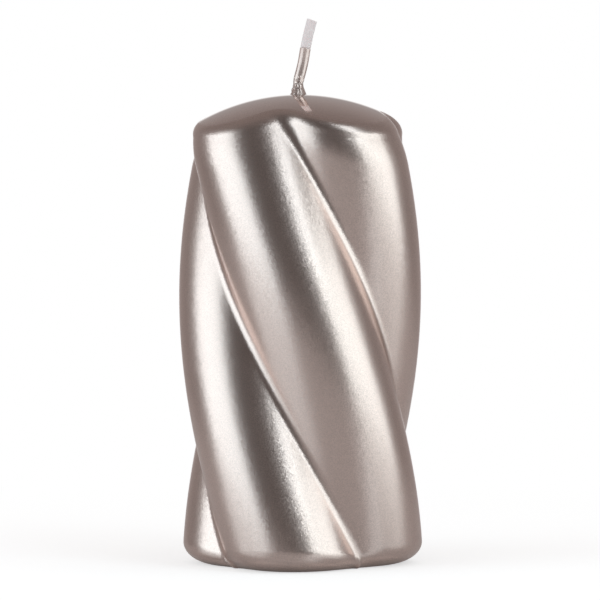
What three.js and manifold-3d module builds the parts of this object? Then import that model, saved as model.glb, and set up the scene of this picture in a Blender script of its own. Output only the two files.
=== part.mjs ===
// A twisted pillar candle under a metallic lacquer, as separate pieces in millimetres.
// +Z is up, the origin is the centre of the standing face and -Y is the front.
import * as THREE from 'three';
import { mergeVertices, toCreasedNormals } from 'three/addons/utils/BufferGeometryUtils.js';
import Module from 'manifold-3d';

const { degToRad, lerp, clamp } = THREE.MathUtils;
const UP = new THREE.Vector3(0, 0, 1);
const wasm = await Module();
wasm.setup();

// The body's section: equal round lobes that run into narrow grooves.
const LOBES = 4;
const BODY_WIDTH = 70; // across two opposite lobes
const LOBE_RADIUS = 19.3;
const GROOVE_RADIUS = 0.9;

// The body along its height.
const BODY_HEIGHT = 135.5; // from the standing face to the top of the crown
const TWIST = 146.5; // degrees that the section turns on its way up, clockwise seen from above
const FIRST_LOBE = -6; // degrees from +X to a lobe's middle at the standing face
const CROWN_RADIUS = 59.2; // the shallow dome that closes the top
const SHOULDER_RADIUS = 5.3; // between the wall and the crown
const DRAW_IN = 0.95; // how far the wall leans in below the shoulder
const DRAW_IN_HEIGHT = 8.3;

// The rounding between the wall and the standing face: wide under the lobes, tight in the grooves.
const LOBE_EDGE_WIDTH = 7.4;
const LOBE_EDGE_HEIGHT = 6.5;
const GROOVE_EDGE_WIDTH = 2.9;
const GROOVE_EDGE_HEIGHT = 3.4;
const GROOVE_EDGE_SPREAD = 0.3; // smaller keeps the tight rounding closer to the groove
const EDGE_SWEEP = 75; // degrees that the rounding turns before the standing face cuts it

// The lacquer film, and the clearance between pieces that touch.
const LACQUER = 0.5;
const FIT_GAP = 0.3;
const WICK_GAP = 0.15;

// The wick: a soaked braid up the middle, bent over to the right above the crown.
const WICK_DIAMETER = 2.3;
const BARE_WICK_DIAMETER = 3; // where no lacquer holds the braid together
const WICK_LENGTH_ABOVE = 21.9; // along the wick, from the crown to its cut end
const WICK_FLARE = 0.9; // length over which the bare braid opens out
const WICK_CUT_SLANT = 4; // degrees off square, so that the cut is higher on the left
const WICK_END_ROUNDING = 0.15;
// How it leans: [share of the length above the crown, degrees to the right].
const WICK_LEANS = [[0, 0], [0.13, 0], [0.21, 16], [0.275, 16], [0.525, 9.5], [1, 16.5]];

// The lacquer on the wick, with the collar of drops at its foot.
const SLEEVE_WALL = 0.25;
const SLEEVE_LENGTH = 13.5;
const COLLAR_DIAMETER = 4.8;
const COLLAR_HEIGHT = 2.9;
const DROP_SIZE = 0.16; // how far the drops stand out of the collar

// The stamped steel disc that holds the wick upright in the mould.
const SUSTAINER_DIAMETER = 20;
const SUSTAINER_SHEET = 0.3;
const SUSTAINER_NECK = 4; // from the disc's lower face to the top of the crimped neck
const SUSTAINER_INSET = 0.6; // from the standing face to the disc's lower face

// How finely curves are stepped.
const LOBE_STEPS = 10;
const GROOVE_STEPS = 2;
const EDGE_STEPS = 4;
const WALL_STEPS = 24;
const SHOULDER_STEPS = 4;
const CROWN_STEPS = 4;
const WICK_SIDES = 12;
const COLLAR_STEPS = 6;
const SLEEVE_STEPS = 10;
const BARE_STEPS = 5;
const ROUND_SIDES = 32;

const wickRadius = WICK_DIAMETER / 2;
const boreRadius = wickRadius + FIT_GAP;
const sleeveRadius = wickRadius + WICK_GAP;

const waxMaterial = new THREE.MeshStandardMaterial({ color: 0xefe6d6, roughness: 0.55, metalness: 0 });
const lacquerMaterial = new THREE.MeshStandardMaterial({ color: 0xd9c7bd, roughness: 0.33, metalness: 0.9 });
const dropMaterial = new THREE.MeshStandardMaterial({ color: 0xcfbcb2, roughness: 0.2, metalness: 0.9 });
const cottonMaterial = new THREE.MeshStandardMaterial({ color: 0xd8d2d3, roughness: 0.9, metalness: 0 });
const steelMaterial = new THREE.MeshStandardMaterial({ color: 0xb9bcbf, roughness: 0.35, metalness: 1 });

// The section's outline as points that know their arc, so that it can be moved inwards exactly.
// A lobe's arc has a positive radius; a groove's is negative, because it curves the other way.
function sectionOutline() {
  const half = Math.PI / LOBES; // from a lobe's middle to the groove beside it
  const lobeCentre = BODY_WIDTH / 2 - LOBE_RADIUS;
  const reach = LOBE_RADIUS + GROOVE_RADIUS;
  const aside = lobeCentre * Math.sin(half);
  const grooveCentre = lobeCentre * Math.cos(half) + Math.sqrt(reach ** 2 - aside ** 2);
  // The direction, seen from the lobe's centre, in which its arc meets the groove's.
  const seam = Math.atan2(grooveCentre * Math.sin(half), grooveCentre * Math.cos(half) - lobeCentre);
  const outline = [];
  const add = (distance, direction, radius, normalAngle) => outline.push({
    centre: new THREE.Vector2(Math.cos(direction), Math.sin(direction)).multiplyScalar(distance),
    normal: new THREE.Vector2(Math.cos(normalAngle), Math.sin(normalAngle)),
    radius,
  });
  for (let lobe = 0; lobe < LOBES; lobe++) {
    const middle = 2 * half * lobe;
    for (let i = 0; i <= LOBE_STEPS; i++) {
      add(lobeCentre, middle, LOBE_RADIUS, middle + lerp(-seam, seam, i / LOBE_STEPS));
    }
    for (let i = 1; i < GROOVE_STEPS; i++) {
      const normalAngle = middle + lerp(seam, 2 * half - seam, i / GROOVE_STEPS);
      add(grooveCentre, middle + half, -GROOVE_RADIUS, normalAngle);
    }
  }
  return outline;
}

const section = sectionOutline();
const onSection = ({ centre, normal, radius }, inset) => (
  normal.clone().multiplyScalar(radius - inset).add(centre)
);
const fromAxis = section.map((point) => onSection(point, 0).length());

// How wide and how high the rounding at the standing face is below each point of the section.
const edges = fromAxis.map((distance) => {
  const [groove, lobe] = [Math.min(...fromAxis), Math.max(...fromAxis)];
  const share = ((distance - groove) / (lobe - groove)) ** GROOVE_EDGE_SPREAD;
  return {
    width: lerp(GROOVE_EDGE_WIDTH, LOBE_EDGE_WIDTH, share),
    height: lerp(GROOVE_EDGE_HEIGHT, LOBE_EDGE_HEIGHT, share),
  };
});

// A point of the rounding as [inset, height], moved inwards by the depth. It turns from 0 where the wall
// begins to EDGE_SWEEP at the standing face.
function onEdge({ width, height }, turn, depth) {
  const sweep = degToRad(EDGE_SWEEP);
  const across = width / (1 - Math.cos(sweep));
  const upright = height / Math.sin(sweep);
  const inwards = new THREE.Vector2(upright * Math.cos(turn), across * Math.sin(turn)).setLength(depth);
  return [
    across * (1 - Math.cos(turn)) + inwards.x,
    height - upright * Math.sin(turn) + inwards.y,
  ];
}

// Turns a point of the straight body by the twist at its height.
function twisted(x, y, z) {
  const angle = degToRad(FIRST_LOBE - TWIST * z / BODY_HEIGHT);
  return new THREE.Vector3(x, y, z).applyAxisAngle(UP, angle);
}

// Part of the way round from one unit vector to another.
function between(from, to, share) {
  const angle = from.angleTo(to);
  return from.clone().multiplyScalar(Math.sin((1 - share) * angle))
    .addScaledVector(to, Math.sin(share * angle))
    .divideScalar(Math.sin(angle));
}

// The body's skin, a given depth inside the lacquer's outer face, as rings from the standing face up to a
// round eye of the given radius in the crown. The shoulder is the path of a ball that rolls between the
// wall and the crown, so the skins at different depths stay parallel.
function skinRings(depth, eyeRadius) {
  const crownCentre = new THREE.Vector3(0, 0, BODY_HEIGHT - CROWN_RADIUS);
  const balls = section.map((point) => {
    const { x, y } = onSection(point, SHOULDER_RADIUS + DRAW_IN);
    const centre = new THREE.Vector3(x, y, 0);
    centre.z = crownCentre.z + Math.sqrt((CROWN_RADIUS - SHOULDER_RADIUS) ** 2 - centre.lengthSq());
    const wallSlope = 2 * DRAW_IN / DRAW_IN_HEIGHT;
    const onWall = new THREE.Vector3(point.normal.x, point.normal.y, wallSlope).normalize();
    const onCrown = centre.clone().sub(crownCentre).normalize();
    return { centre, onWall, onCrown };
  });
  const rings = [];
  const addRing = (place) => {
    rings.push(section.map((point, i) => twisted(...place(point, balls[i], edges[i]))));
  };

  // Inside the outer skin, the rounding ends above the standing face and a short slope takes it down.
  if (depth > 0) addRing((point, ball, edge) => [...onSection(point, edge.width + depth), 0]);
  for (let i = 0; i <= EDGE_STEPS; i++) {
    const turn = degToRad(EDGE_SWEEP) * (1 - i / EDGE_STEPS);
    addRing((point, ball, edge) => {
      const [inset, z] = onEdge(edge, turn, depth);
      return [...onSection(point, inset), z];
    });
  }
  for (let i = 1; i <= WALL_STEPS; i++) {
    addRing((point, ball, edge) => {
      const z = lerp(edge.height, ball.centre.z, i / WALL_STEPS);
      const drawn = clamp(1 - (ball.centre.z - z) / DRAW_IN_HEIGHT, 0, 1) ** 2;
      return [...onSection(point, depth + DRAW_IN * drawn), z];
    });
  }
  for (let i = 0; i <= SHOULDER_STEPS; i++) {
    addRing((point, ball) => {
      const normal = between(ball.onWall, ball.onCrown, i / SHOULDER_STEPS);
      return ball.centre.clone().addScaledVector(normal, SHOULDER_RADIUS - depth);
    });
  }
  const crownRadius = CROWN_RADIUS - depth;
  for (let i = 1; i <= CROWN_STEPS; i++) {
    addRing((point, ball) => {
      const flat = new THREE.Vector2(ball.onCrown.x, ball.onCrown.y);
      const start = flat.length() * crownRadius;
      flat.setLength(lerp(start, eyeRadius, i / CROWN_STEPS));
      return [...flat, crownCentre.z + Math.sqrt(crownRadius ** 2 - flat.lengthSq())];
    });
  }
  return rings;
}

// Skins a list of rings with as many points each. A loop joins the last ring to the first one;
// otherwise both ends are capped from their middles.
function loft(rings, loop = false) {
  const count = rings[0].length;
  const points = rings.flat();
  const faces = [];
  const bands = loop ? rings.length : rings.length - 1;
  for (let j = 0; j < bands; j++) {
    for (let i = 0; i < count; i++) {
      const below = j * count;
      const above = ((j + 1) % rings.length) * count;
      const next = (i + 1) % count;
      const [a, b, c, d] = [below + i, below + next, above + next, above + i];
      // A quad is split along its shorter diagonal, so that the facets follow the twist.
      if (points[a].distanceTo(points[c]) <= points[b].distanceTo(points[d])) faces.push(a, b, c, a, c, d);
      else faces.push(a, b, d, b, c, d);
    }
  }
  if (!loop) {
    const capFrom = (start, reverse) => {
      const middle = new THREE.Vector3();
      for (let i = 0; i < count; i++) middle.addScaledVector(points[start + i], 1 / count);
      points.push(middle);
      for (let i = 0; i < count; i++) {
        const [one, two] = [start + i, start + (i + 1) % count];
        faces.push(points.length - 1, ...(reverse ? [two, one] : [one, two]));
      }
    };
    capFrom(0, true);
    capFrom((rings.length - 1) * count, false);
  }
  return new THREE.BufferGeometry().setFromPoints(points).setIndex(faces);
}

// A closed solid of revolution about Z from its half section, given as [radius, height] points.
function turned(profile, sides = ROUND_SIDES) {
  const points = [...profile, profile[0]].map(([radius, height]) => new THREE.Vector2(radius, height));
  return new THREE.LatheGeometry(points, sides).rotateX(Math.PI / 2);
}

function toManifold(geometry) {
  const bare = geometry.clone();
  bare.deleteAttribute('normal');
  bare.deleteAttribute('uv');
  const merged = mergeVertices(bare, 1e-4);
  const vertProperties = new Float32Array(merged.attributes.position.array);
  const triVerts = new Uint32Array(merged.index.array);
  return new wasm.Manifold(new wasm.Mesh({ numProp: 3, vertProperties, triVerts }));
}

function cut(geometry, ...tools) {
  const subtract = (solid, tool) => solid.subtract(toManifold(tool));
  const made = tools.reduce(subtract, toManifold(geometry)).getMesh();
  return new THREE.BufferGeometry()
    .setAttribute('position', new THREE.BufferAttribute(made.vertProperties, 3))
    .setIndex(new THREE.BufferAttribute(made.triVerts, 1));
}

// The wick's middle line above and below the crown, by distance along it from the top of the crown. The
// lean changes steadily between the entries of WICK_LEANS, and each stretch's chord has its mean lean.
function wickLine(distance) {
  const middle = new THREE.Vector3(0, 0, Math.min(distance, 0));
  let lean = 0;
  for (let i = 1; i < WICK_LEANS.length; i++) {
    const [[startShare, startLean], [endShare, endLean]] = WICK_LEANS.slice(i - 1, i + 1);
    const done = clamp((distance / WICK_LENGTH_ABOVE - startShare) / (endShare - startShare), 0, 1);
    if (done === 0) break;
    lean = degToRad(lerp(startLean, endLean, done));
    const chordLean = (degToRad(startLean) + lean) / 2;
    const chord = done * (endShare - startShare) * WICK_LENGTH_ABOVE;
    middle.x += chord * Math.sin(chordLean);
    middle.z += chord * Math.cos(chordLean);
  }
  const along = new THREE.Vector3(Math.sin(lean), 0, Math.cos(lean));
  const across = new THREE.Vector3(Math.cos(lean), 0, -Math.sin(lean));
  return { middle, along, across };
}

// A ring round the wick's middle line; its radius may change round it, and a slant lowers its right side.
function wickRing(distance, radiusAt, slant = 0) {
  const { middle, along, across } = wickLine(distance);
  const ring = [];
  for (let i = 0; i < WICK_SIDES; i++) {
    const angle = 2 * Math.PI * i / WICK_SIDES;
    const radius = typeof radiusAt === 'function' ? radiusAt(angle) : radiusAt;
    const toRight = radius * Math.cos(angle);
    const point = middle.clone().addScaledVector(across, toRight);
    point.addScaledVector(along, -toRight * Math.tan(degToRad(slant)));
    point.y += radius * Math.sin(angle);
    ring.push(point);
  }
  return ring;
}

// Evenly spaced distances from the start to the end.
function evenStops(start, end, steps) {
  return Array.from({ length: steps + 1 }, (_, i) => lerp(start, end, i / steps));
}

// Where the bent film has its rings; the wick inside it has them at the same places.
const sleeveStops = evenStops(COLLAR_HEIGHT, SLEEVE_LENGTH, SLEEVE_STEPS);

function waxBody() {
  const neckRadius = sleeveRadius + SUSTAINER_SHEET + FIT_GAP;
  const pocketTop = SUSTAINER_INSET + SUSTAINER_NECK + FIT_GAP;
  const recessRadius = SUSTAINER_DIAMETER / 2 + FIT_GAP;
  const recessTop = SUSTAINER_INSET + SUSTAINER_SHEET + FIT_GAP;
  const past = 1; // how far the cutter runs past the faces that it opens
  const wickWay = turned([
    [0, -past],
    [recessRadius, -past],
    [recessRadius, recessTop],
    [neckRadius, recessTop],
    [neckRadius, pocketTop],
    [boreRadius, pocketTop],
    [boreRadius, BODY_HEIGHT + past],
    [0, BODY_HEIGHT + past],
  ]);
  return cut(loft(skinRings(LACQUER + FIT_GAP, 2 * boreRadius)), wickWay);
}

function lacquerCoat() {
  return loft([...skinRings(0, boreRadius), ...skinRings(LACQUER, boreRadius).reverse()], true);
}

function wick() {
  const bareRadius = BARE_WICK_DIAMETER / 2;
  const flareStart = SLEEVE_LENGTH + WICK_GAP;
  const bareStops = evenStops(flareStart + WICK_FLARE, WICK_LENGTH_ABOVE - WICK_END_ROUNDING, BARE_STEPS);
  const lastBareStop = bareStops.pop();
  return loft([
    wickRing(SUSTAINER_INSET - BODY_HEIGHT, wickRadius),
    ...sleeveStops.map((distance) => wickRing(distance, wickRadius)),
    wickRing(flareStart, wickRadius),
    ...bareStops.map((distance) => wickRing(distance, bareRadius)),
    wickRing(lastBareStop, bareRadius, WICK_CUT_SLANT),
    wickRing(WICK_LENGTH_ABOVE, bareRadius - WICK_END_ROUNDING, WICK_CUT_SLANT),
  ]);
}

// The film on the wick widens into the collar, whose drops fade out with its height.
function wickLacquer() {
  const outerRadius = sleeveRadius + SLEEVE_WALL;
  const collarRing = (share) => wickRing(lerp(FIT_GAP, COLLAR_HEIGHT, share), (angle) => {
    const drops = Math.sin(3 * angle + 5 * share) * Math.sin(angle - 7 * share);
    const flare = (COLLAR_DIAMETER / 2 - outerRadius) * (1 - share) ** 1.5;
    return outerRadius + flare + DROP_SIZE * drops * (1 - share);
  });
  const outer = sleeveStops.map((distance) => wickRing(distance, outerRadius));
  const inner = sleeveStops.map((distance) => wickRing(distance, sleeveRadius)).reverse();
  return loft([
    ...evenStops(0, 1, COLLAR_STEPS).slice(0, -1).map(collarRing),
    ...outer,
    ...inner,
    wickRing(FIT_GAP, sleeveRadius),
  ], true);
}

function wickSustainer() {
  const outerRadius = SUSTAINER_DIAMETER / 2;
  const neckRadius = sleeveRadius + SUSTAINER_SHEET;
  return turned([
    [sleeveRadius, 0],
    [outerRadius, 0],
    [outerRadius, SUSTAINER_SHEET],
    [neckRadius, SUSTAINER_SHEET],
    [neckRadius, SUSTAINER_NECK],
    [sleeveRadius, SUSTAINER_NECK],
  ]);
}

function piece(name, geometry, material) {
  const mesh = new THREE.Mesh(toCreasedNormals(geometry, degToRad(35)), material);
  mesh.name = name;
  return mesh;
}

const candle = new THREE.Group();
candle.add(piece('wax_body', waxBody(), waxMaterial));
candle.add(piece('lacquer_coat', lacquerCoat(), lacquerMaterial));

const wickParts = new THREE.Group();
wickParts.position.z = BODY_HEIGHT;
wickParts.add(piece('wick', wick(), cottonMaterial));
wickParts.add(piece('wick_lacquer', wickLacquer(), dropMaterial));
candle.add(wickParts);

const sustainer = piece('wick_sustainer', wickSustainer(), steelMaterial);
sustainer.position.z = SUSTAINER_INSET;
candle.add(sustainer);

export default candle;
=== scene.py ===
import math

import bmesh
import bpy
from mathutils import Matrix, Vector


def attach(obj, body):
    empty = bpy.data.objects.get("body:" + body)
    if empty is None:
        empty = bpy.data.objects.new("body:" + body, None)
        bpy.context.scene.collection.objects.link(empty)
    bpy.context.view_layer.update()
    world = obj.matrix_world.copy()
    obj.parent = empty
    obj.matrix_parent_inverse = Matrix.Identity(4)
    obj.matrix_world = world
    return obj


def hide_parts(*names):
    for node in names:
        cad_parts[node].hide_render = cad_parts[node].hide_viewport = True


# The twisted candle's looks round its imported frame. Sizes are in metres, +Z is up and -Y is the front.

# Camera, fitted to the photograph's outline: angles in degrees, lens and sensor in millimetres
AIM_HEIGHT = 0.0695
CAMERA_DISTANCE = 0.965
CAMERA_ELEVATION = 1.68
CAMERA_ROLL = -0.512
CAMERA_LENS = 200.0
CAMERA_SENSOR = 36.0
CAMERA_SHIFT = (-0.00055, 0.03797)

# The soft lamps round the candle
LAMP_DISTANCE = 0.9
COOL_LAMP = (0.745, 0.93, 1.0)
WARM_LAMP = (0.77, 0.945, 0.985)

# The room that the metal mirrors, and its level on matte surfaces
ROOM_COLOR = (1.0, 0.92, 0.90, 1)
ROOM_IN_FRONT = 0.088  # on the camera's side
ROOM_ROUND_THE_BACK = 0.235
FAR_WALL_ADDS = 0.13
ROOM_ON_MATTE = 0.6

# The floor: glowing paper to the camera, a disc of glossy acrylic to everything else
PAPER = 0.58
PAPER_GLOW = 0.56
PAPER_FADE = (0.06, 0.30)  # from the axis, where it turns pure white
ACRYLIC = 0.53
ACRYLIC_GLOW = 0.05
ACRYLIC_FADE = (0.35, 0.60)  # from the axis, where it turns clear
FLOOR_HALF_SIZE = 3.0

# The body's section and height. Only the groove's radius isn't the frame's, because it is softer here.
LOBES = 4
BODY_WIDTH = 0.070
LOBE_RADIUS = 0.0193
GROOVE_RADIUS = 0.0040
BODY_HEIGHT = 0.1355
TWIST = 146.5  # degrees that the section turns on its way up, clockwise seen from above
FIRST_LOBE = -6.0  # degrees from +X to a lobe's middle at the standing face
CROWN_RADIUS = 0.0592
SHOULDER_RADIUS = 0.0053
DRAW_IN = 0.00095  # how far the wall leans in below the shoulder
DRAW_IN_HEIGHT = 0.0083
LACQUER = 0.0005
FIT_GAP = 0.0003

# The rounding over the standing face, as width and height under a lobe and under a groove
LOBE_EDGE = (0.0074, 0.0065)
GROOVE_EDGE = (0.0029, 0.0034)
GROOVE_EDGE_SPREAD = 0.3  # smaller keeps the tight rounding closer to the groove
EDGE_SWEEP = math.radians(75)

# The wick: its leans are a share of its length above the crown and the degrees to the right there
WICK_RADIUS = 0.00115
BARE_WICK_RADIUS = 0.0015
WICK_LENGTH = 0.0219
WICK_CUT_SLANT = math.tan(math.radians(4))
WICK_LEANS = ((0, 0), (0.13, 0), (0.21, 16), (0.275, 16), (0.525, 9.5), (1, 16.5))

# The wick's braid
BRAID_YARNS = 6  # in each of two sets that wind opposite ways
BRAID_PITCH = 0.0062
BRAID_RELIEF = 0.00005
BRAID_DIVE = 0.45  # how far a yarn sinks towards its crossings, as a share of the relief
BRAID_UNDER_FILM = 0.4  # the share of the relief that stays under the film
BRAID_FLARE = 0.0006  # length over which the bare braid opens out

# The lacquer on the wick
WICK_GAP = 0.00015
SLEEVE_WALL = 0.00025
SLEEVE_INNER = WICK_RADIUS + WICK_GAP
SLEEVE_OUTER = SLEEVE_INNER + SLEEVE_WALL
SLEEVE_LENGTH = 0.0135
SLEEVE_BEVEL = 0.00004
SLEEVE_RIPPLE = 0.00001

# The collar at the film's foot, as heights above the crown and outer radii
COLLAR = [
    (0.00000, 0.00240), (0.00014, 0.00234), (0.00030, 0.00218), (0.00070, 0.00194), (0.00116, 0.00176),
    (0.00200, 0.00158), (0.00260, 0.00148), (0.00300, 0.00143), (0.00360, 0.00145), (0.00440, 0.00151),
    (0.00560, SLEEVE_OUTER), (SLEEVE_LENGTH, SLEEVE_OUTER),
]

# Drops that dried on the film: angle in degrees, height, radius and how far they stand out
DROPS = [
    (243, 0.00268, 0.000528, 0.000264), (229, 0.00178, 0.000506, 0.000264),
    (290, 0.00258, 0.000814, 0.000264), (248, 0.00062, 0.0011, 0.000312), (300, 0.00098, 0.000946, 0.000192),
    (352, 0.001, 0.00088, 0.000168), (38, 0.0012, 0.000814, 0.00024), (66, 0.00225, 0.000704, 0.00024),
    (84, 0.0007, 0.00077, 0.00024), (108, 0.0018, 0.000638, 0.000288), (134, 0.0009, 0.00066, 0.00024),
    (150, 0.00245, 0.00055, 0.00024), (172, 0.0014, 0.000682, 0.000288), (250, 0.00395, 0.000396, 0.00018),
    (292, 0.0037, 0.000374, 0.00012), (276, 0.005, 0.00044, 0.000144), (215, 0.0046, 0.000495, 0.00012),
    (340, 0.0043, 0.00055, 0.00012), (60, 0.004, 0.000495, 0.000144), (140, 0.0043, 0.00055, 0.000144),
]

# The steel sustainer, with a ring pressed up in its disc
SUSTAINER_RADIUS = 0.010
SUSTAINER_INSET = 0.0006
SUSTAINER_NECK = 0.004
SUSTAINER_SHEET = 0.0003
SUSTAINER_RING = (0.0030, 0.0052)
SUSTAINER_RING_SLOPE = 0.0006
SUSTAINER_RING_HEIGHT = 0.00012
SUSTAINER_CHAMFER = 0.0001

# The lacquers' colours: of flakes that catch the light, and of flakes that don't
CHAMPAGNE = (0.84, 0.655, 0.592, 1)
CHAMPAGNE_SHADE = (0.68, 0.530, 0.479, 1)
THIN_FILM = (0.74, 0.58, 0.53, 1)
THIN_FILM_SHADE = (0.70, 0.545, 0.495, 1)
FLAKES_PER_METRE = 5200.0

# The clear coat over the flakes, and how uneven the lacquer's roughness is
COAT_WEIGHT = 0.2
COAT_ROUGHNESS = 0.03
UNEVENNESS = 0.015

# The crown levelled out as it dried: it mirrors where it faces up enough and is seen at a glancing angle
FACING_UP = (0.80, 0.92)
GLANCING = (0.46, 0.66)
MIRROR_COAT_WEIGHT = 0.8
MIRROR_ROUGHNESS_SHARE = 0.2


# Small helpers
def feed(tree, node, inputs):
    for socket, value in inputs.items():
        if isinstance(value, bpy.types.NodeSocket):
            tree.links.new(value, node.inputs[socket])
        else:
            node.inputs[socket].default_value = value


def add_node(tree, kind, inputs=None, **settings):
    node = tree.nodes.new(kind)
    for name, value in settings.items():
        setattr(node, name, value)
    feed(tree, node, inputs or {})
    return node


def combine(tree, operation, first, second):
    return add_node(tree, "ShaderNodeMath", {0: first, 1: second}, operation=operation).outputs[0]


def combine_vectors(tree, operation, first, second):
    node = add_node(tree, "ShaderNodeVectorMath", {0: first, 1: second}, operation=operation)
    return node.outputs[0]


def ramp(tree, value, start, end, low=0.0, high=1.0, shape="SMOOTHSTEP"):
    """Low up to where the value is start, high from where it is end, and a slope between them."""
    limits = {"Value": value, "From Min": start, "From Max": end, "To Min": low, "To Max": high}
    return add_node(tree, "ShaderNodeMapRange", limits, interpolation_type=shape).outputs[0]


def mix(tree, kind, share, first, second):
    """The first value at share 0, the second at share 1."""
    first_socket, second_socket, result = {"FLOAT": (2, 3, 0), "VECTOR": (4, 5, 1), "RGBA": (6, 7, 2)}[kind]
    inputs = {0: share, first_socket: first, second_socket: second}
    return add_node(tree, "ShaderNodeMix", inputs, data_type=kind).outputs[result]


def object_place(tree):
    return add_node(tree, "ShaderNodeTexCoord").outputs["Object"]


def lerp(start, end, share):
    return start + (end - start) * share


def smooth_step(low, high, value):
    share = min(max((value - low) / (high - low), 0.0), 1.0)
    return share * share * (3 - 2 * share)


def to_object(name, bm, crease=40):
    """Makes the mesh an object, shaded smooth but for edges sharper than the crease in degrees."""
    mesh = bpy.data.meshes.new(name)
    bm.to_mesh(mesh)
    bm.free()
    mesh.shade_smooth()
    mesh.set_sharp_from_angle(angle=math.radians(crease))
    piece = bpy.data.objects.new(name, mesh)
    bpy.context.scene.collection.objects.link(piece)
    return piece


def skin(name, rings, loop=False, caps=(), crease=40):
    """Skins rings of as many points each, one after the other; a loop joins the last to the first."""
    bm = bmesh.new()
    mark = bm.verts.layers.int.new("place")
    made = bmesh.ops.create_circle(bm, cap_ends=False, segments=len(rings[0]), radius=1.0)
    for place, vert in enumerate(made["verts"]):
        vert[mark] = place
        vert.co = rings[0][place]
    rim = list(bm.edges)
    first = list(rim)
    for ring in rings[1:] + (rings[:1] if loop else []):
        grown = bmesh.ops.extrude_edge_only(bm, edges=rim)["geom"]
        verts = {item for item in grown if isinstance(item, bmesh.types.BMVert)}
        for vert in verts:
            vert.co = ring[vert[mark]]
        rim = [item for item in grown if isinstance(item, bmesh.types.BMEdge)
               and item.verts[0] in verts and item.verts[1] in verts]
    if loop:
        bmesh.ops.remove_doubles(bm, verts=bm.verts, dist=1e-7)
    for edges in ([first] if "start" in caps else []) + ([rim] if "end" in caps else []):
        bmesh.ops.edgeloop_fill(bm, edges=edges)
    bmesh.ops.recalc_face_normals(bm, faces=bm.faces)
    return to_object(name, bm, crease)


def finish_piece(piece, material, slot, *nodes):
    piece.data.materials.clear()
    piece.data.materials.append(material)
    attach(piece, "root")
    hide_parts(*nodes)


# The body
def section_outline(lobe_steps, groove_steps):
    """The straight body's outline, as arc centres, normals and radii; a groove's radius is negative."""
    half = math.pi / LOBES
    lobe_centre = BODY_WIDTH / 2 - LOBE_RADIUS
    reach = LOBE_RADIUS + GROOVE_RADIUS
    aside = lobe_centre * math.sin(half)
    groove_centre = lobe_centre * math.cos(half) + math.sqrt(reach ** 2 - aside ** 2)
    seam = math.atan2(groove_centre * math.sin(half), groove_centre * math.cos(half) - lobe_centre)
    outline = []
    for lobe in range(LOBES):
        middle = 2 * half * lobe
        arcs = [(lobe_centre, middle, LOBE_RADIUS, lerp(-seam, seam, i / lobe_steps))
                for i in range(lobe_steps + 1)]
        arcs += [(groove_centre, middle + half, -GROOVE_RADIUS, lerp(seam, 2 * half - seam, i / groove_steps))
                 for i in range(1, groove_steps)]
        for distance, direction, radius, turn in arcs:
            centre = distance * Vector((math.cos(direction), math.sin(direction)))
            normal = Vector((math.cos(middle + turn), math.sin(middle + turn)))
            outline.append((centre, normal, radius))
    return outline


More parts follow.
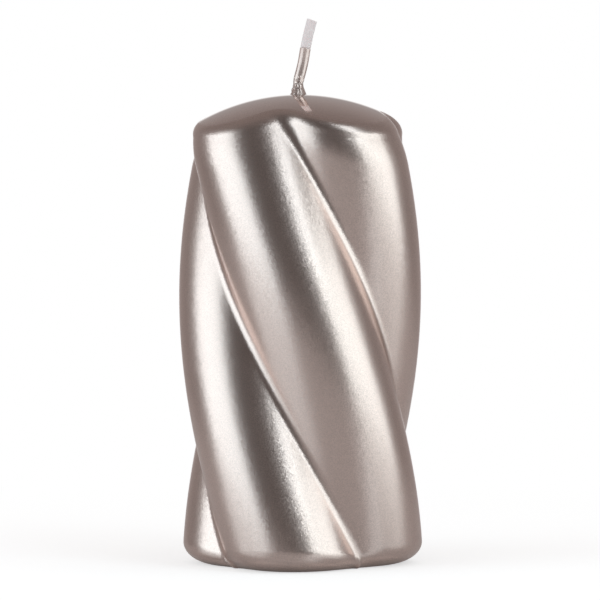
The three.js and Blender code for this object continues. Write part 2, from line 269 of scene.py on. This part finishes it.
class Body:
    """The candle's skins: rings of points from the standing face up to the wick's eye."""

    def __init__(self, lobe_steps, groove_steps):
        self.section = section_outline(lobe_steps, groove_steps)
        reach = [self.inset(i, 0.0).length for i in range(len(self.section))]
        self.edges = []
        for distance in reach:
            share = ((distance - min(reach)) / (max(reach) - min(reach))) ** GROOVE_EDGE_SPREAD
            self.edges.append(tuple(lerp(low, high, share) for low, high in zip(GROOVE_EDGE, LOBE_EDGE)))
        self.crown_centre = Vector((0, 0, BODY_HEIGHT - CROWN_RADIUS))
        # A ball rolls between the wall and the crown: its middle, and its directions to the two
        self.balls = []
        for i, (_, normal, _) in enumerate(self.section):
            ball = self.inset(i, SHOULDER_RADIUS + DRAW_IN).to_3d()
            rise = math.sqrt((CROWN_RADIUS - SHOULDER_RADIUS) ** 2 - ball.length_squared)
            ball.z = self.crown_centre.z + rise
            on_wall = Vector((normal.x, normal.y, 2 * DRAW_IN / DRAW_IN_HEIGHT)).normalized()
            self.balls.append((ball, on_wall, (ball - self.crown_centre).normalized()))

    def inset(self, i, depth):
        centre, normal, radius = self.section[i]
        return centre + normal * (radius - depth)

    def ring(self, place):
        points = []
        for i in range(len(self.section)):
            point = place(i)
            turn = math.radians(FIRST_LOBE - TWIST * point.z / BODY_HEIGHT)
            points.append(Matrix.Rotation(turn, 3, "Z") @ point)
        return points

    def on_foot(self, turn, depth):
        def place(i):
            width, height = self.edges[i]
            across = width / (1 - math.cos(EDGE_SWEEP))
            upright = height / math.sin(EDGE_SWEEP)
            inwards = Vector((upright * math.cos(turn), across * math.sin(turn))).normalized() * depth
            point = self.inset(i, across * (1 - math.cos(turn)) + inwards.x).to_3d()
            point.z = height - upright * math.sin(turn) + inwards.y
            return point
        return self.ring(place)

    def on_base(self, depth):
        return self.ring(lambda i: self.inset(i, self.edges[i][0] + depth).to_3d())

    def on_wall(self, share, depth):
        def place(i):
            top = self.balls[i][0].z
            z = lerp(self.edges[i][1], top, share)
            drawn = min(max(1 - (top - z) / DRAW_IN_HEIGHT, 0.0), 1.0) ** 2
            point = self.inset(i, depth + DRAW_IN * drawn).to_3d()
            point.z = z
            return point
        return self.ring(place)

    def on_shoulder(self, share, depth):
        def place(i):
            ball, on_wall, on_crown = self.balls[i]
            return ball + on_wall.slerp(on_crown, share) * (SHOULDER_RADIUS - depth)
        return self.ring(place)

    def on_crown(self, share, depth, eye):
        radius = CROWN_RADIUS - depth

        def place(i):
            flat = self.balls[i][2].to_2d()
            flat = flat.normalized() * lerp(flat.length * radius, eye, share)
            point = flat.to_3d()
            point.z = self.crown_centre.z + math.sqrt(radius ** 2 - flat.length_squared)
            return point
        return self.ring(place)

    def rings(self, depth, eye, foot, wall, shoulder, crown):
        """The skin at a depth, with so many steps up the foot, the wall, the shoulder and the crown."""
        rings = [self.on_base(depth)] if depth else []
        rings += [self.on_foot(EDGE_SWEEP * (1 - i / foot), depth) for i in range(foot + 1)]
        rings += [self.on_wall(i / wall, depth) for i in range(1, wall + 1)]
        rings += [self.on_shoulder(i / shoulder, depth) for i in range(shoulder + 1)]
        rings += [self.on_crown(i / crown, depth, eye) for i in range(1, crown + 1)]
        return rings


def lacquer_coat():
    body = Body(lobe_steps=42, groove_steps=15)
    eye = WICK_RADIUS + FIT_GAP
    outer = body.rings(0.0, eye, foot=14, wall=230, shoulder=14, crown=26)
    inner = body.rings(LACQUER, eye, foot=3, wall=40, shoulder=3, crown=6)
    return skin("coat_film", outer + inner[::-1], loop=True)


# The wick
def wick_line(distance):
    """The wick's middle, and the directions along and across it, at a distance from the crown's top."""
    middle = Vector((0, 0, BODY_HEIGHT + min(distance, 0.0)))
    lean = 0.0
    for (start, start_lean), (end, end_lean) in zip(WICK_LEANS, WICK_LEANS[1:]):
        done = min(max((distance / WICK_LENGTH - start) / (end - start), 0.0), 1.0)
        if done > 0:
            lean = math.radians(lerp(start_lean, end_lean, done))
            chord_lean = (math.radians(start_lean) + lean) / 2
            chord = done * (end - start) * WICK_LENGTH
            middle += chord * Vector((math.sin(chord_lean), 0, math.cos(chord_lean)))
    return middle, Vector((math.sin(lean), 0, math.cos(lean))), Vector((math.cos(lean), 0, -math.sin(lean)))


def wick_ring(distance, sides, radius_at, slant=0.0):
    """A ring round the wick's middle: its radius may change round it, and a slant lowers its right side."""
    middle, along, across = wick_line(distance)
    ring = []
    for i in range(sides):
        angle = 2 * math.pi * i / sides
        radius = radius_at(angle)
        to_right = radius * math.cos(angle)
        side = Vector((0, radius * math.sin(angle), 0))
        ring.append(middle + across * to_right - along * to_right * slant + side)
    return ring


def braid(angle, distance):
    """How far the yarns stand out: two sets wind opposite ways, and each goes over and under in turn."""
    one = BRAID_YARNS * (angle / (2 * math.pi) + distance / BRAID_PITCH)
    two = BRAID_YARNS * (angle / (2 * math.pi) - distance / BRAID_PITCH)
    over, under = (one, two) if (math.floor(one) + math.floor(two)) % 2 == 0 else (two, one)
    across = 2 * (over % 1.0) - 1
    along = 2 * (under % 1.0) - 1
    return BRAID_RELIEF * (math.sqrt(1 - across ** 2) * (1 - BRAID_DIVE * along ** 2) - 0.5)


def braided_wick():
    sides = 72
    flare = SLEEVE_LENGTH - 0.0002
    last_bare = WICK_LENGTH - 0.0003
    cut = WICK_LENGTH - 0.00003

    def radius_at(distance):
        def radius(angle):
            opening = smooth_step(flare, flare + BRAID_FLARE, distance)
            plain = lerp(WICK_RADIUS, BARE_WICK_RADIUS - BRAID_RELIEF / 2, opening)
            return plain + braid(angle, distance) * lerp(BRAID_UNDER_FILM, 1.0, opening)
        return radius

    stops = [SUSTAINER_INSET - BODY_HEIGHT, -0.06, -0.002]
    stops += [0.0006 * i for i in range(1, 22)]
    stops += [lerp(flare, last_bare, i / 110) for i in range(111)]
    rings = [wick_ring(stop, sides, radius_at(stop)) for stop in stops]

    # The cut end, as shares of the wick's radius and how deep they lie
    end_radius = radius_at(WICK_LENGTH)
    cut_rings = ((1.0, 0.00012), (0.97, 0.00004), (0.9, 0.0), (0.75, 0.00002), (0.5, -0.00003),
                 (0.25, 0.00003), (0.05, 0.0))
    for share, sink in cut_rings:
        rings.append(wick_ring(cut - sink, sides, lambda angle: end_radius(angle) * share, WICK_CUT_SLANT))
    return skin("wick_braid", rings, caps=("start", "end"))


def collar_radius(distance):
    for (low, low_radius), (high, high_radius) in zip(COLLAR, COLLAR[1:]):
        if distance <= high:
            return lerp(low_radius, high_radius, (distance - low) / (high - low))
    return COLLAR[-1][1]


def lacquered_sleeve():
    sides = 120

    def radius_at(distance):
        plain = collar_radius(distance)

        def radius(angle):
            standing = 0.0
            for degrees, height, size, depth in DROPS:
                turn = (math.degrees(angle) - degrees + 180) % 360 - 180
                away = math.hypot(math.radians(turn) * plain, distance - height) / size
                if away < 1:
                    standing = max(standing, depth * (1 - away ** 2))
            ripple = SLEEVE_RIPPLE * math.sin(5 * angle + 900 * distance)
            return plain + standing + ripple
        return radius

    # Finely stepped over the collar and its drops, coarsely above them
    stops = [0.0] + [0.00004 + 0.00005 * i for i in range(112)]
    stops += [0.0057 + 0.0002 * i for i in range(39)]
    stops += [SLEEVE_LENGTH - SLEEVE_BEVEL]
    outer = [wick_ring(stop, sides, radius_at(stop)) for stop in stops]
    outer.append(wick_ring(SLEEVE_LENGTH, sides, lambda angle: SLEEVE_OUTER - SLEEVE_BEVEL))
    inner_stops = [SLEEVE_LENGTH] + [lerp(0.0125, 0.0029, i / 16) for i in range(17)] + [0.0002]
    inner = [wick_ring(stop, sides, lambda angle: SLEEVE_INNER) for stop in inner_stops]
    return skin("wick_film", outer + inner, loop=True, crease=80)


# The steel sustainer
def stamped_sustainer():
    bm = bmesh.new()
    lower = SUSTAINER_INSET
    upper = lower + SUSTAINER_SHEET
    raised = SUSTAINER_RING_HEIGHT
    ring_inner, ring_outer = SUSTAINER_RING
    top_inner = ring_inner + SUSTAINER_RING_SLOPE
    top_outer = ring_outer - SUSTAINER_RING_SLOPE
    rim = SUSTAINER_RADIUS - SUSTAINER_CHAMFER
    neck_outer = SLEEVE_INNER + SUSTAINER_SHEET
    neck_top = lower + SUSTAINER_NECK
    bend = SUSTAINER_SHEET
    outline = [
        (SLEEVE_INNER, lower), (ring_inner, lower), (top_inner, lower + raised), (top_outer, lower + raised),
        (ring_outer, lower), (rim, lower), (SUSTAINER_RADIUS, lower + SUSTAINER_CHAMFER),
        (SUSTAINER_RADIUS, upper - SUSTAINER_CHAMFER), (rim, upper), (ring_outer, upper),
        (top_outer, upper + raised), (top_inner, upper + raised), (ring_inner, upper),
        (neck_outer + bend, upper), (neck_outer, upper + bend),
        (neck_outer, neck_top), (SLEEVE_INNER, neck_top),
    ]
    verts = [bm.verts.new((radius, 0, z)) for radius, z in outline]
    edges = [bm.edges.new((a, b)) for a, b in zip(verts, verts[1:] + verts[:1])]
    bmesh.ops.spin(bm, geom=verts + edges, cent=(0, 0, 0), axis=(0, 0, 1), angle=2 * math.pi, steps=96,
                   use_merge=True)
    bmesh.ops.remove_doubles(bm, verts=bm.verts, dist=1e-7)
    bmesh.ops.recalc_face_normals(bm, faces=bm.faces)
    return to_object("sustainer_disc", bm, crease=50)


# Materials
def new_group(name, inputs, outputs):
    tree = bpy.data.node_groups.new(name, "ShaderNodeTree")
    for socket, kind, value in inputs:
        made = tree.interface.new_socket(socket, in_out="INPUT", socket_type=kind)
        made.default_value = value
    for socket, kind in outputs:
        tree.interface.new_socket(socket, in_out="OUTPUT", socket_type=kind)
    return tree, tree.nodes.new("NodeGroupInput").outputs, tree.nodes.new("NodeGroupOutput")


def flakes_group():
    """Flat metal flakes in a film: each tilts the surface its own small way."""
    tree, given, out = new_group(
        "metal_flakes",
        [("Scale", "NodeSocketFloat", FLAKES_PER_METRE), ("Tilt", "NodeSocketFloat", 0.1)],
        [("Normal", "NodeSocketVector"), ("Fleck", "NodeSocketFloat")],
    )
    cells = add_node(tree, "ShaderNodeTexVoronoi", {"Vector": object_place(tree), "Scale": given["Scale"]},
                     feature="F1").outputs["Color"]
    fleck = add_node(tree, "ShaderNodeSeparateColor", {0: cells}).outputs[0]
    offset = combine_vectors(tree, "SUBTRACT", cells, (0.5, 0.5, 0.5))
    tilted = add_node(tree, "ShaderNodeVectorMath", {0: offset, "Scale": given["Tilt"]}, operation="SCALE")
    even = add_node(tree, "ShaderNodeNewGeometry").outputs["Normal"]
    turned = combine_vectors(tree, "ADD", even, tilted.outputs[0])
    unit = add_node(tree, "ShaderNodeVectorMath", {0: turned}, operation="NORMALIZE").outputs[0]
    feed(tree, out, {"Normal": unit, "Fleck": fleck})
    return tree


def clouds_group():
    """A slow change over the surface, between two values."""
    tree, given, out = new_group(
        "cloudy_change",
        [("Scale", "NodeSocketFloat", 60.0), ("Low", "NodeSocketFloat", 0.0),
         ("High", "NodeSocketFloat", 1.0)],
        [("Value", "NodeSocketFloat")],
    )
    noise = add_node(tree, "ShaderNodeTexNoise",
                     {"Vector": object_place(tree), "Scale": given["Scale"], "Detail": 3.0}).outputs[0]
    feed(tree, out, {"Value": ramp(tree, noise, 0.3, 0.7, given["Low"], given["High"], shape="LINEAR")})
    return tree


def clouds(tree, groups, scale, low=0.0, high=1.0):
    inputs = {"Scale": scale, "Low": low, "High": high}
    return add_node(tree, "ShaderNodeGroup", inputs, node_tree=groups["clouds"]).outputs[0]


def new_material(name):
    material = bpy.data.materials.new(name)
    material.use_nodes = True
    tree = material.node_tree
    return material, tree, tree.nodes["Principled BSDF"]


def lacquer_material(name, groups, color, shade_color, roughness, tilt):
    """Flaked metal under a clear coat, which turns to a mirror on the crown where it is seen glancingly."""
    material, tree, shader = new_material(name)
    flakes = add_node(tree, "ShaderNodeGroup", {"Scale": FLAKES_PER_METRE, "Tilt": tilt},
                      node_tree=groups["flakes"]).outputs
    uneven = clouds(tree, groups, 45.0, roughness - UNEVENNESS, roughness + UNEVENNESS)
    even = add_node(tree, "ShaderNodeNewGeometry").outputs["Normal"]
    upward = add_node(tree, "ShaderNodeSeparateXYZ", {0: even}).outputs["Z"]
    level = ramp(tree, upward, *FACING_UP)
    edge = add_node(tree, "ShaderNodeLayerWeight", {"Blend": 0.5}).outputs["Facing"]
    mirror = combine(tree, "MULTIPLY", level, ramp(tree, edge, *GLANCING))
    feed(tree, shader, {
        "Base Color": mix(tree, "RGBA", flakes["Fleck"], shade_color, color),
        "Metallic": 1.0,
        "Roughness": mix(tree, "FLOAT", mirror, uneven, roughness * MIRROR_ROUGHNESS_SHARE),
        "Normal": mix(tree, "VECTOR", level, flakes["Normal"], even),
        "Coat Weight": mix(tree, "FLOAT", mirror, COAT_WEIGHT, MIRROR_COAT_WEIGHT),
        "Coat Roughness": COAT_ROUGHNESS,
    })
    return material


def thin_out(material):
    """The film on the wick hides less of the cotton towards its upper end."""
    tree = material.node_tree
    height = add_node(tree, "ShaderNodeSeparateXYZ", {0: object_place(tree)}).outputs["Z"]
    cover = ramp(tree, height, BODY_HEIGHT + 0.004, BODY_HEIGHT + SLEEVE_LENGTH, 0.85, 0.4, shape="LINEAR")
    feed(tree, tree.nodes["Principled BSDF"], {"Metallic": cover})


def cotton_material(groups):
    material, tree, shader = new_material("waxed_cotton")
    fuzz = clouds(tree, groups, 2500.0)
    bump = add_node(tree, "ShaderNodeBump", {"Height": fuzz, "Distance": 0.00003, "Strength": 0.2})
    feed(tree, shader, {
        "Base Color": mix(tree, "RGBA", fuzz, (0.76, 0.67, 0.664, 1), (0.78, 0.695, 0.688, 1)),
        "Roughness": 0.75,
        "Normal": bump.outputs[0],
        "Sheen Weight": 0.3,
        "Subsurface Weight": 0.3,
        "Subsurface Radius": (0.0006, 0.0005, 0.0005),
        "Subsurface Scale": 1.0,
    })
    return material


def wax_material(groups):
    material, tree, shader = new_material("cast_wax")
    mottle = clouds(tree, groups, 180.0)
    feed(tree, shader, {
        "Base Color": mix(tree, "RGBA", mottle, (0.84, 0.78, 0.68, 1), (0.90, 0.86, 0.78, 1)),
        "Roughness": 0.42,
        "Subsurface Weight": 0.35,
        "Subsurface Radius": (0.004, 0.003, 0.002),
        "Subsurface Scale": 1.0,
    })
    return material


def steel_material(groups):
    material, tree, shader = new_material("tinned_steel")
    feed(tree, shader, {
        "Base Color": (0.62, 0.63, 0.64, 1),
        "Metallic": 1.0,
        "Roughness": clouds(tree, groups, 900.0, 0.25, 0.42),
    })
    return material


# Camera and studio
def photo_camera():
    data = bpy.data.cameras.new("photo_camera")
    camera = bpy.data.objects.new("photo_camera", data)
    bpy.context.scene.collection.objects.link(camera)
    tilt = math.radians(CAMERA_ELEVATION)
    roll = Matrix.Rotation(math.radians(CAMERA_ROLL), 4, "Z")
    aim = Vector((0, 0, AIM_HEIGHT))
    stand = aim + CAMERA_DISTANCE * Vector((0, -math.cos(tilt), math.sin(tilt)))
    look = (aim - stand).to_track_quat("-Z", "Y").to_matrix().to_4x4()
    camera.matrix_world = Matrix.Translation(stand) @ look @ roll
    data.sensor_width = CAMERA_SENSOR
    data.lens = CAMERA_LENS
    data.shift_x, data.shift_y = CAMERA_SHIFT
    data.clip_start = 0.01
    bpy.context.scene.camera = camera


def soft_light(name, azimuth, elevation, roll, half_width, half_height, radiance, color):
    """A flat lamp that faces the candle, with its half sizes in degrees as the candle sees them.

    Azimuth 0 is the camera's side, +90 is the right, and a positive roll leans its top towards -azimuth.
    """
    width = 2 * LAMP_DISTANCE * math.tan(math.radians(half_width))
    height = 2 * LAMP_DISTANCE * math.tan(math.radians(half_height))
    data = bpy.data.lights.new(name, "AREA")
    data.shape = "RECTANGLE"
    data.size = width
    data.size_y = height
    data.energy = radiance * math.pi * width * height
    data.color = color
    lamp = bpy.data.objects.new(name, data)
    bpy.context.scene.collection.objects.link(lamp)
    round_about = math.radians(azimuth)
    upwards = math.radians(elevation)
    aim = Vector((0, 0, AIM_HEIGHT))
    outward = Vector((math.sin(round_about) * math.cos(upwards),
                      -math.cos(round_about) * math.cos(upwards), math.sin(upwards)))
    look = (-outward).to_track_quat("-Z", "Y").to_matrix().to_4x4()
    turn = Matrix.Rotation(math.radians(roll), 4, "Z")
    lamp.matrix_world = Matrix.Translation(aim + LAMP_DISTANCE * outward) @ look @ turn
    lamp.visible_camera = False


def seen_straight(tree, rays):
    return combine(tree, "MAXIMUM", rays["Is Camera Ray"], rays["Is Transmission Ray"])


def studio_floor():
    bm = bmesh.new()
    bmesh.ops.create_grid(bm, x_segments=1, y_segments=1, size=FLOOR_HALF_SIZE)
    floor = to_object("studio_floor", bm)
    material = bpy.data.materials.new("white_floor")
    material.use_nodes = True
    tree = material.node_tree
    tree.nodes.clear()
    rays = add_node(tree, "ShaderNodeLightPath").outputs
    middle = add_node(tree, "ShaderNodeVectorMath", {0: object_place(tree)}, operation="LENGTH")
    away = middle.outputs["Value"]

    def blend(share, first, second):
        inputs = {0: share, 1: first.outputs[0], 2: second.outputs[0]}
        return add_node(tree, "ShaderNodeMixShader", inputs)

    matte = add_node(tree, "ShaderNodeBsdfDiffuse", {"Color": (PAPER, PAPER, PAPER, 1)})
    glow = add_node(tree, "ShaderNodeEmission", {"Color": (1, 1, 1, 1), "Strength": PAPER_GLOW})
    near = add_node(tree, "ShaderNodeAddShader", {0: matte.outputs[0], 1: glow.outputs[0]})
    white = add_node(tree, "ShaderNodeEmission", {"Color": (1, 1, 1, 1), "Strength": 1.0})
    paper = blend(ramp(tree, away, *PAPER_FADE), near, white)

    acrylic = add_node(tree, "ShaderNodeBsdfPrincipled", {
        "Base Color": (ACRYLIC, ACRYLIC, ACRYLIC, 1), "Roughness": 0.17, "IOR": 2.6,
        "Emission Color": (1, 1, 1, 1), "Emission Strength": ACRYLIC_GLOW,
    })
    nothing = add_node(tree, "ShaderNodeBsdfTransparent")
    disc = blend(ramp(tree, away, *ACRYLIC_FADE), acrylic, nothing)

    surface = blend(seen_straight(tree, rays), disc, paper)
    add_node(tree, "ShaderNodeOutputMaterial", {"Surface": surface.outputs[0]})
    floor.data.materials.append(material)


def studio_world():
    world = bpy.data.worlds.new("studio_room")
    bpy.context.scene.world = world
    world.use_nodes = True
    tree = world.node_tree
    tree.nodes.clear()
    rays = add_node(tree, "ShaderNodeLightPath").outputs
    direction = add_node(tree, "ShaderNodeTexCoord").outputs["Generated"]
    axes = add_node(tree, "ShaderNodeSeparateXYZ", {0: direction}).outputs

    # The room gets lighter from the camera's side to the back, and lighter again at the far wall
    sides = ramp(tree, axes["Y"], -0.7, 0.2, ROOM_IN_FRONT, ROOM_ROUND_THE_BACK)
    far_wall = ramp(tree, axes["Y"], 0.5, 1.0, 0.0, FAR_WALL_ADDS)
    room = combine(tree, "ADD", sides, far_wall)

    # White where the camera sees it, and where the metal mirrors the low middle of the backdrop
    behind = ramp(tree, axes["Y"], 0.945, 0.985)
    low = ramp(tree, axes["Z"], 0.12, 0.36, 1.0, 0.0)
    backdrop = combine(tree, "MULTIPLY", behind, low)
    mirrored = combine(tree, "MULTIPLY", backdrop, rays["Is Glossy Ray"])
    white = combine(tree, "MAXIMUM", mirrored, seen_straight(tree, rays))

    plain = mix(tree, "FLOAT", rays["Is Diffuse Ray"], room, ROOM_ON_MATTE)
    level = mix(tree, "FLOAT", white, plain, 1.0)
    tone = mix(tree, "RGBA", white, ROOM_COLOR, (1, 1, 1, 1))
    background = add_node(tree, "ShaderNodeBackground", {"Color": tone, "Strength": level})
    add_node(tree, "ShaderNodeOutputWorld", {"Surface": background.outputs[0]})


# The candle put together
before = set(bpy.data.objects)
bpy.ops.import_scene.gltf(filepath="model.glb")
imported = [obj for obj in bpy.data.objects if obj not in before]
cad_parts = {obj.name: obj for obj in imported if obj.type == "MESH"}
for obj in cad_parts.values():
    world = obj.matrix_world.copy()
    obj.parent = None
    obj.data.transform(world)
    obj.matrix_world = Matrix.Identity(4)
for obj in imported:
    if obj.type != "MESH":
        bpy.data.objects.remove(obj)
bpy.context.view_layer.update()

photo_camera()
studio_world()
studio_floor()
soft_light("left_softbox", azimuth=-65, elevation=9.5, roll=-58, half_width=32, half_height=25.5,
           radiance=1.76, color=COOL_LAMP)
soft_light("right_softbox", azimuth=68, elevation=-3, roll=12, half_width=27, half_height=28,
           radiance=1.74, color=WARM_LAMP)
soft_light("upper_right_softbox", azimuth=39.5, elevation=36.5, roll=0, half_width=10, half_height=22.5,
           radiance=2.05, color=COOL_LAMP)

groups = {"flakes": flakes_group(), "clouds": clouds_group()}
coat = lacquer_material("champagne_lacquer", groups, CHAMPAGNE, CHAMPAGNE_SHADE, roughness=0.30, tilt=0.115)
film = lacquer_material("thin_lacquer", groups, THIN_FILM, THIN_FILM_SHADE, roughness=0.34, tilt=0.02)
thin_out(film)

finish_piece(lacquer_coat(), coat, "lacquer", "lacquer_coat")
finish_piece(lacquered_sleeve(), film, "lacquer_drops", "wick_lacquer")
finish_piece(braided_wick(), cotton_material(groups), "cotton", "wick")
finish_piece(stamped_sustainer(), steel_material(groups), "tinned_steel", "wick_sustainer")

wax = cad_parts["wax_body"]
wax.data.materials.clear()
wax.data.materials.append(wax_material(groups))

bpy.context.scene.view_settings.view_transform = "Standard"
